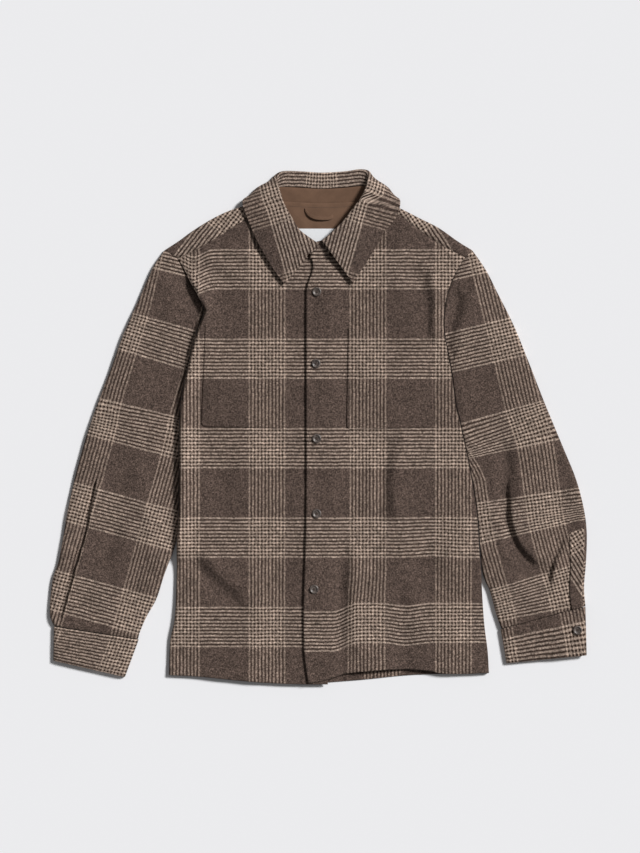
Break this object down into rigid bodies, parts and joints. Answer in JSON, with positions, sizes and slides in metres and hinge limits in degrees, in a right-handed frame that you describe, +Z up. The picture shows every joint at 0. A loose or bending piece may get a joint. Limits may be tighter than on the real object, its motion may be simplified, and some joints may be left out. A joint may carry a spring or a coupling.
{
  "type": "shacket",
  "caption": "Men's checked wool overshirt with a turned-down collar, patch chest pockets, buttoned front and long cuffed sleeves, laid flat on its back.",
  "frame": {"origin": "on the surface the garment lies on, under the middle of its bounding box", "axes": "+X towards the viewer's right, which is the wearer's left; +Y from the hem to the collar; +Z up, out of the front"},
  "size_m": [0.8176, 0.7842, 0.0207],
  "materials": {
    "wool_check": "brushed wool check",
    "brown_twill": "matt twill",
    "white_label": "woven satin, blank",
    "horn_button": "polished horn effect"
  },
  "bodies": {
    "root": {"back_panel": "wool_check", "yoke": "wool_check", "front_right": "wool_check", "front_left": "wool_check", "pocket_right": "wool_check", "pocket_left": "wool_check", "sleeve_right": "wool_check", "sleeve_left": "wool_check", "sleeve_placket_left": "wool_check", "cuff_right": "wool_check", "cuff_left": "wool_check", "collar": "wool_check", "collar_stand": "brown_twill", "yoke_lining": "brown_twill", "neck_label": "white_label", "hanger_loop": "brown_twill", "button_1": "horn_button", "button_2": "horn_button", "button_3": "horn_button", "button_4": "horn_button", "button_5": "horn_button", "cuff_button_left": "horn_button"}
  },
  "joints": []
}
